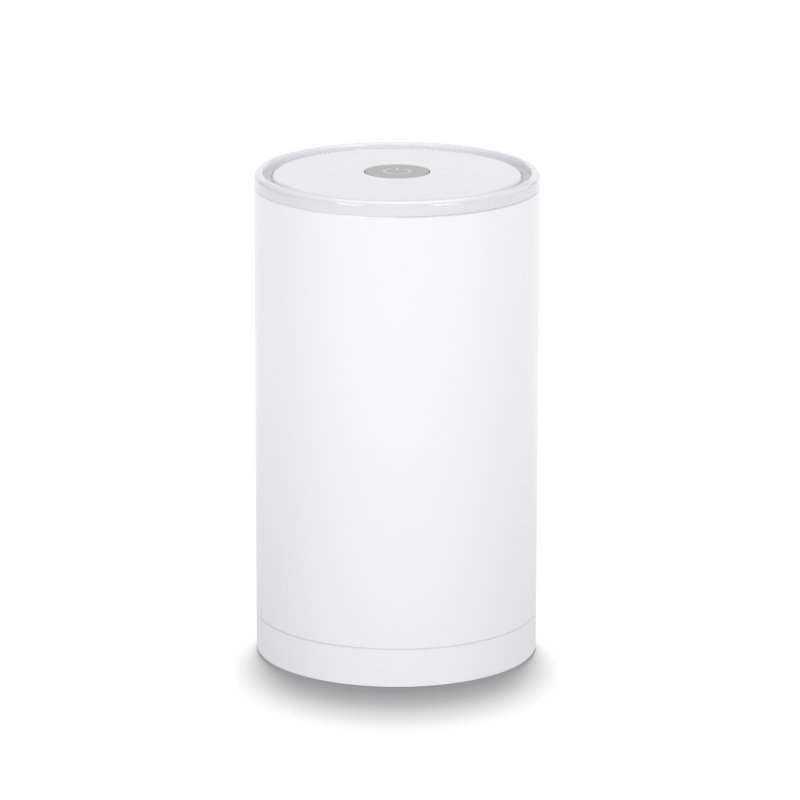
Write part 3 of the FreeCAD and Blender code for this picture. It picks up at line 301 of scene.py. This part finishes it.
def carbon_felt(name):
    """Black felt of matted fibres with bright flecks of carbon grain."""
    s = Surface(name, Sheen_Weight=0.3, Sheen_Roughness=0.5)
    fibre = s.noise(0.0006, 6.0, s.stretched(1, 1, 0.25), 0.75)
    across = s.noise(0.0007, 6.0, s.stretched(0.3, 0.3, 1), 0.75)
    grain = s.cells(0.0011)
    mat = s.add("ShaderNodeMath", {0: fibre, 1: across}, operation="MAXIMUM").outputs[0]
    shade = s.mixed(s.ranged(mat, 0.0, 1.0, 0.4, 0.7), (0.006, 0.006, 0.0065), (0.05, 0.05, 0.053))
    s.colour(s.mixed(s.ranged(grain, 1.0, 0.0, 0.0, 0.25), shade, (0.11, 0.11, 0.115)))
    s.rough(s.ranged(grain, 0.45, 0.95, 0.0, 0.4))
    s.bump(mat, 0.0003)
    return s.material


def filter_paper(name):
    """White glass-fibre paper: matted fine fibres and a faint fold shading."""
    s = Surface(name)
    fibre = s.noise(0.0005, 6.0, s.stretched(1, 1, 0.3), 0.7)
    cloud = s.noise(0.01, 3.0)
    shade = s.mixed(s.ranged(fibre, 0.0, 1.0, 0.35, 0.65), (0.74, 0.74, 0.71), (0.86, 0.86, 0.83))
    s.colour(s.mixed(s.ranged(cloud, 0.0, 0.4, 0.3, 0.7), shade, (0.80, 0.79, 0.75)))
    s.rough(s.ranged(fibre, 0.85, 0.98))
    s.bump(fibre, 0.00006)
    return s.material


def circuit_board(name):
    """Green solder mask over copper tracks, with pads and a fine glass weave."""
    s = Surface(name, IOR=1.55, Coat_Weight=0.4, Coat_Roughness=0.15)
    blocks = {"Vector": s.place, "Scale": 180.0, "Brick Width": 0.9, "Row Height": 0.28}
    blocks.update({"Mortar Size": 0.11, "Mortar Smooth": 0.1, "Bias": 0.0})
    track = s.add("ShaderNodeTexBrick", blocks).outputs["Fac"]
    pad = s.ranged(s.cells(0.0045), 1.0, 0.0, 0.10, 0.13)
    mask = s.mixed(track, (0.008, 0.075, 0.03), (0.02, 0.14, 0.055))
    s.colour(s.mixed(pad, mask, (0.62, 0.60, 0.52)))
    s.rough(s.ranged(pad, 0.34, 0.22))
    s.bump(track, 0.00003).bump(s.noise(0.0008, 2.0), 0.00001)
    return s.material


# ---------------------------------------------------------------- which node gets which material
def paint(names, material):
    """Gives CAD nodes a material."""
    for name in names.split():
        mesh = nodes[name].data
        mesh.materials.clear()
        mesh.materials.append(material)


def paint_nodes():
    """Materials of all the CAD nodes."""
    gloss = gloss_plastic("gloss_white", WHITE)
    paint("outer_shell base_ring top_disc", gloss)
    paint("top_ring", rim_plastic("ring_white"))
    fine_grain = (0.0004, 0.000006, 0.36, 0.46)
    paint("power_button", satin_plastic("button_grey", BUTTON_GREY, *fine_grain))
    paint("button_symbol", satin_plastic("symbol_grey", (0.74, 0.73, 0.73), *fine_grain))
    satin = satin_plastic("satin_white", SATIN_WHITE)
    paint("outlet_grille filter_lower_cap filter_upper_cap filter_core", satin)
    paint("inlet_plate fan_deck", satin_plastic("textured_grey", LIGHT_GREY, 0.0009, 0.00004))
    paint("fan_shroud motor_mount", satin_plastic("dark_grey", DARK_GREY, 0.0008, 0.00003))
    wheel_grey = tinted(DARK_GREY, 1.5)
    paint("impeller", satin_plastic("fan_wheel_grey", wheel_grey, 0.0006, 0.00002, 0.34, 0.5))
    zinc = steel("zinc_plate", (0.66, 0.66, 0.68))
    paint("inlet_plate_screws disc_screws board_screws deck_screws fan_screws", zinc)
    nickel = steel("nickel_plate", (0.68, 0.66, 0.62), 0.14, 0.28)
    paint("base_magnets housing_magnets socket_shell", nickel)
    races = turned_metal("ground_steel", (0.62, 0.62, 0.63))
    paint("bearing_outer_races bearing_inner_races", races)
    paint("bearing_balls motor_shaft", steel("hard_steel", (0.70, 0.70, 0.71), 0.08, 0.18))
    paint("button_spring retaining_clip", steel("spring_steel", (0.48, 0.47, 0.46), 0.22, 0.36))
    paint("rotor_can", steel("drawn_steel", (0.55, 0.55, 0.57), 0.26, 0.4))
    paint("bearing_tube", turned_metal("brass", (0.78, 0.56, 0.22)))
    paint("stator_core", laminated_steel("laminated_steel"))
    paint("stator_windings", wound_copper("wound_copper"))
    nylon = satin_plastic("natural_nylon", (0.72, 0.69, 0.60), 0.0005, 0.00001)
    paint("stator_insulator board_connectors power_lead_plug shaft_washer", nylon)
    paint("rubber_feet rubber_grommets", rubber("rubber", (0.022, 0.022, 0.024)))
    paint("filter_seal", foam("foam"))
    paint("filter_carbon_sleeve", carbon_felt("carbon_felt"))
    paint("filter_media", filter_paper("filter_paper"))
    paint("filter_net", satin_plastic("net_plastic", (0.42, 0.43, 0.45), 0.0006, 0.00001))
    paint("control_board socket_board motor_board", circuit_board("circuit_board"))
    black = satin_plastic("black_epoxy", (0.018, 0.018, 0.02), 0.0003, 0.000006)
    paint("board_chips switch_body socket_tongue magnet_ring", black)
    paint("board_capacitors", steel("drawn_can", (0.72, 0.72, 0.74), 0.2, 0.32))
    paint("switch_plunger", satin_plastic("plunger_red", (0.36, 0.06, 0.045), 0.0004, 0.000008))
    paint("power_lead", sheath("black_sheath", (0.02, 0.02, 0.022)))
    paint("motor_lead", sheath("red_sheath", (0.42, 0.035, 0.025)))


# ---------------------------------------------------------------- new pieces
def mesh_piece(name, vertices, faces, node, body):
    """A new smooth mesh that stands for a CAD node, in its material, and rides on its body."""
    mesh = bpy.data.meshes.new(name)
    mesh.from_pydata(vertices, [], faces)
    mesh.polygons.foreach_set("use_smooth", [True] * len(mesh.polygons))
    mesh.materials.append(nodes[node].data.materials[0])
    piece = bpy.data.objects.new(name, mesh)
    scene.collection.objects.link(piece)
    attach(piece, body)
    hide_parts(node)
    return piece


def radius_of(node):
    """The outside radius of a round CAD node."""
    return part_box(node)[1].x


def swept_ring(outline, steps):
    """Vertices and faces of a closed (radius, height) outline turned about Z."""
    count = len(outline)
    vertices = []
    for i in range(steps):
        a = 2 * math.pi * i / steps
        vertices += [(r * math.cos(a), r * math.sin(a), z) for r, z in outline]
    faces = []
    for i in range(steps):
        here, ahead = i * count, (i + 1) % steps * count
        for k in range(count):
            after = (k + 1) % count
            faces.append((here + k, ahead + k, ahead + after, here + after))
    return vertices, faces


def pleated_paper():
    """The filter's paper: rounded folds that are a little uneven, as folded paper is."""
    pleats, per_pleat, rows = 56, 20, 15
    paper, clearance = 0.45 * MM, 0.3 * MM
    sharpness = 0.985  # a fold of sharpness 1 would be a zigzag
    outer = radius_of("filter_media") - paper
    inner = radius_of("filter_carbon_sleeve") + clearance + paper
    low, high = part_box("filter_media")
    uneven = random.Random(7)
    reach = [uneven.uniform(0.955, 1.0) for _ in range(pleats)]
    shift = [uneven.uniform(-0.13, 0.13) for _ in range(pleats)]
    phases = [uneven.uniform(0, 6.28) for _ in range(pleats)]
    vertices, faces = [], []
    for row in range(rows):
        up = row / (rows - 1)
        for i in range(pleats):
            for k in range(per_pleat):
                t = k / per_pleat
                wave = math.cos(2 * math.pi * (t - 0.5))
                fold = math.asin(sharpness * wave) / math.asin(sharpness)
                share = (1 + fold) / 2
                lean = shift[i] + 0.05 * math.sin(phases[i] + 5 * up)
                turn = (i + t + lean * share) / pleats * 2 * math.pi
                r = inner + (outer - inner) * share * (reach[i] * share + 1 - share)
                z = low.z + (high.z - low.z) * up
                vertices.append((r * math.cos(turn), r * math.sin(turn), z))
    ring = pleats * per_pleat
    for row in range(rows - 1):
        for k in range(ring):
            after = (k + 1) % ring
            a, b = row * ring, (row + 1) * ring
            faces.append((a + k, a + after, b + after, b + k))
    piece = mesh_piece("pleated_paper", vertices, faces, "filter_media", "base")
    sheet = piece.modifiers.new("thickness", "SOLIDIFY")
    sheet.thickness = paper
    sheet.offset = 0.0
    return piece


def plastic_net():
    """The coarse net around the filter: crossing strands that make diamonds."""
    around, rows = 84, 53
    strand, inset = 0.42 * MM, 0.25 * MM
    low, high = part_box("filter_net")
    r = high.x - inset
    vertices, faces = [], []
    for j in range(rows):
        for i in range(around):
            a = 2 * math.pi * (i + 0.5 * (j % 2)) / around
            z = low.z + strand / 2 + (high.z - low.z - strand) * j / (rows - 1)
            vertices.append((r * math.cos(a), r * math.sin(a), z))
    for j in range(rows - 2):
        for i in range(around):
            left = (i - 1 + j % 2) % around
            right = (i + j % 2) % around
            base, middle, top = j * around, (j + 1) * around, (j + 2) * around
            faces.append((base + i, middle + right, top + i, middle + left))
    piece = mesh_piece("plastic_net", vertices, faces, "filter_net", "base")
    wire = piece.modifiers.new("strands", "WIREFRAME")
    wire.thickness = strand
    wire.use_even_offset = False
    return piece


def rounded_outline(r0, r1, z0, z1, radius):
    """A (radius, height) rectangle with rounded corners."""
    steps = 4
    outline = []
    corners = ((r1 - radius, z0 + radius, -90), (r1 - radius, z1 - radius, 0))
    corners += ((r0 + radius, z1 - radius, 90), (r0 + radius, z0 + radius, 180))
    for r, z, start in corners:
        for k in range(steps + 1):
            a = math.radians(start + 90 * k / steps)
            outline.append((r + radius * math.cos(a), z + radius * math.sin(a)))
    return outline


def foam_seal():
    """The seal on the filter: a soft ring with rounded edges and a slightly uneven skin."""
    width, edge, roughness, steps = 9.0 * MM, 0.9 * MM, 0.03 * MM, 180
    low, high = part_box("filter_seal")
    outline = rounded_outline(high.x - width, high.x, low.z, high.z, edge)
    vertices, faces = swept_ring(outline, steps)
    uneven = random.Random(3)
    vertices = [tuple(c + uneven.uniform(-1, 1) * roughness for c in v) for v in vertices]
    piece = mesh_piece("foam_seal", vertices, faces, "filter_seal", "base")
    return piece


def felt_sleeve():
    """The carbon felt: a thick sleeve whose surface is matted and uneven."""
    rows, steps, roughness = 40, 150, 0.06 * MM
    low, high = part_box("filter_carbon_sleeve")
    r1 = high.x - 0.1 * MM
    r0 = radius_of("filter_core") + 0.2 * MM
    outline = [(r1, low.z + (high.z - low.z) * k / rows) for k in range(rows + 1)]
    outline += [(r0, high.z + (low.z - high.z) * k / rows) for k in range(rows + 1)]
    vertices, faces = swept_ring(outline, steps)
    uneven = random.Random(11)
    moved = []
    for x, y, z in vertices:
        swell = 1 + uneven.uniform(-roughness, roughness) / r1
        moved.append((x * swell, y * swell, z))
    piece = mesh_piece("felt_sleeve", moved, faces, "filter_carbon_sleeve", "base")
    return piece


def coil_spring():
    """The button's spring: wire coiled with closed, flattened end turns."""
    low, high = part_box("button_spring")
    wire, turns, per_turn, around = 0.35 * MM, 5.6, 40, 10
    coil = high.x - wire
    bottom, top = low.z + wire, high.z - wire
    closed = 1.0 / turns  # the share of the wire in each end turn
    end_rise = wire * 1.9  # how far an end turn climbs
    steps = int(turns * per_turn)
    line = []
    for i in range(steps + 1):
        t = i / steps
        rise = min(max((t - closed) / (1 - 2 * closed), 0.0), 1.0)
        ends = end_rise * (min(t / closed, 1.0) + min(max((t - 1 + closed) / closed, 0.0), 1.0))
        z = bottom + ends + (top - bottom - 2 * end_rise) * rise
        a = 2 * math.pi * turns * t
        line.append(Vector((coil * math.cos(a), coil * math.sin(a), z)))
    vertices, faces = [], []
    for i, p in enumerate(line):
        outward = Vector((p.x, p.y, 0)).normalized()
        for k in range(around):
            a = 2 * math.pi * k / around
            v = p + (outward * math.cos(a) + Vector((0, 0, 1)) * math.sin(a)) * wire
            vertices.append(tuple(v))
    for i in range(steps):
        for k in range(around):
            after = (k + 1) % around
            a, b = i * around, (i + 1) * around
            faces.append((a + k, b + k, b + after, a + after))
    faces.append(tuple(range(around)))
    faces.append(tuple(reversed(range(steps * around, (steps + 1) * around))))
    piece = mesh_piece("coil_spring", vertices, faces, "button_spring", "housing")
    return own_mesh(piece)


# ---------------------------------------------------------------- studio
STAGE_HALF = 6.0
CARD_DEPTH = 2 * MM
GLOW_START, GLOW_END = 0.06, 0.40  # distances from the object's axis
GLOW_NEAR, GLOW_FAR = 0.75, 1.04  # strengths there
WORLD_COLOUR = (0.985, 0.985, 1.0, 1.0)
WORLD_STRENGTH = 0.42
LAMP_TARGET = (0, 0, 0.09)
SOFT_BOXES = {  # place, energy in watts, and width and height
    "front_box": ((0.0, -1.7, 0.75), 2.9, (0.9, 0.8)),
    "left_box": ((-1.0, -1.25, 0.62), 6.0, (0.62, 0.36)),
    "right_box": ((1.0, -1.25, 0.62), 6.0, (0.62, 0.36)),
    "right_side": ((1.45, 0.6, 0.6), 2.1, (1.4, 0.5)),
    "top_box": ((0, 0.1, 1.5), 7.2, (1.2, 1.2)),
    "back_box": ((0, 1.8, 0.55), 3.4, (2.4, 0.8)),
}
FLOOR_SUNS = ((0.075, 1.40), (0.165, 1.68), (0.26, 1.03))  # lean to the back, strength
FLOOR_SUN_ANGLE = math.radians(9)
CAMERA_TILT = math.radians(15.13)
CAMERA_ROLL = math.radians(0.11)
CAMERA_DISTANCE = 1.7715
CAMERA_CENTRE = Vector((0.0, 0.0, 0.0861))  # what the camera stands CAMERA_DISTANCE from
CAMERA_TARGET = Vector((0.00117, 0.0, 0.0915))  # what it looks at
FOCAL_LENGTH, SENSOR_WIDTH = 225.0, 36.0


def floor_material():
    """Matt white paper for the floor, with a very faint tooth."""
    s = Surface("paper_white", Roughness=1.0, Specular_IOR_Level=0.0)
    s.colour(s.mixed(s.noise(0.4, 2.0), (0.60, 0.60, 0.60), (0.61, 0.61, 0.61)))
    return s.material


def glow_material():
    """A glow that grows with the distance from the object, as a lit floor looks from the object."""
    black, white = (0, 0, 0, 1), (1, 1, 1, 1)
    s = Surface("floor_glow", Base_Color=black, Specular_IOR_Level=0.0, Emission_Color=white)
    distance = s.add("ShaderNodeVectorMath", {0: s.place}, operation="LENGTH").outputs["Value"]
    glow = s.ranged(distance, GLOW_NEAR, GLOW_FAR, GLOW_START, GLOW_END)
    s.tree.links.new(glow, s.shader.inputs["Emission Strength"])
    s.material.cycles.emission_sampling = "NONE"
    return s.material


def stage_plane(name, z, material):
    """A wide level plane that isn't part of the object."""
    half = STAGE_HALF
    mesh = bpy.data.meshes.new(name)
    corners = [(-half, -half, z), (half, -half, z), (half, half, z), (-half, half, z)]
    mesh.from_pydata(corners, [], [(0, 1, 2, 3)])
    mesh.materials.append(material)
    piece = bpy.data.objects.new(name, mesh)
    scene.collection.objects.link(piece)
    piece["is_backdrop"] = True
    return piece


def floor():
    """The pale floor. A card just under it lights the object from below, not the floor itself."""
    ground = stage_plane("floor", 0.0, floor_material())
    ground.visible_diffuse = False
    ground.visible_glossy = False
    card = stage_plane("bounce_card", -CARD_DEPTH, glow_material())
    card.visible_camera = False
    return ground


def light(name, kind, place, target, energy, lit):
    """A lamp at a place, turned to a target. lit is the collection of objects that it lights."""
    lamp = bpy.data.lights.new(name, kind)
    lamp.energy = energy
    holder = bpy.data.objects.new(name, lamp)
    holder.location = place
    holder.rotation_euler = (Vector(target) - Vector(place)).to_track_quat("-Z", "Y").to_euler()
    holder.visible_camera = False
    scene.collection.objects.link(holder)
    holder.light_linking.receiver_collection = lit
    return lamp


def group(name, objects):
    """A collection that lights are linked to."""
    collection = bpy.data.collections.new(name)
    for o in objects:
        collection.objects.link(o)
    return collection


def studio(ground):
    """World light, the object's soft boxes, and the lamps that give the floor its soft shadow."""
    world = bpy.data.worlds.new("studio")
    world.use_nodes = True
    background = world.node_tree.nodes["Background"].inputs
    background["Color"].default_value = WORLD_COLOUR
    background["Strength"].default_value = WORLD_STRENGTH
    scene.world = world
    pieces = group("lit_pieces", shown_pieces())
    ground_only = group("lit_floor", [ground])
    for name, (place, energy, size) in SOFT_BOXES.items():
        lamp = light(name, "AREA", place, LAMP_TARGET, energy, pieces)
        lamp.shape = "RECTANGLE"
        lamp.size, lamp.size_y = size
    for i, (lean, strength) in enumerate(FLOOR_SUNS):
        sun = light(f"floor_sun_{i + 1}", "SUN", (0, lean, 1.0), (0, 0, 0), strength, ground_only)
        sun.angle = FLOOR_SUN_ANGLE


def camera():
    """A long lens from the front, a little above, as the object was photographed."""
    backward = Vector((0.0, -math.cos(CAMERA_TILT), math.sin(CAMERA_TILT)))
    lens = bpy.data.cameras.new("camera")
    lens.lens = FOCAL_LENGTH
    lens.sensor_width = SENSOR_WIDTH
    lens.clip_start, lens.clip_end = 0.05, 30.0
    holder = bpy.data.objects.new("camera", lens)
    holder.location = CAMERA_CENTRE + CAMERA_DISTANCE * backward
    look = CAMERA_TARGET - holder.location
    holder.rotation_euler = look.to_track_quat("-Z", "Y").to_euler()
    holder.rotation_euler.rotate_axis("Z", CAMERA_ROLL)
    scene.collection.objects.link(holder)
    scene.camera = holder


def colour_management():
    """Plain sRGB, so that the white floor reads as white."""
    scene.view_settings.view_transform = "Standard"
    scene.view_settings.look = "None"
    scene.view_settings.exposure = 0.0


paint_nodes()
pleated_paper()
plastic_net()
foam_seal()
felt_sleeve()
coil_spring()
studio(floor())
camera()
colour_management()
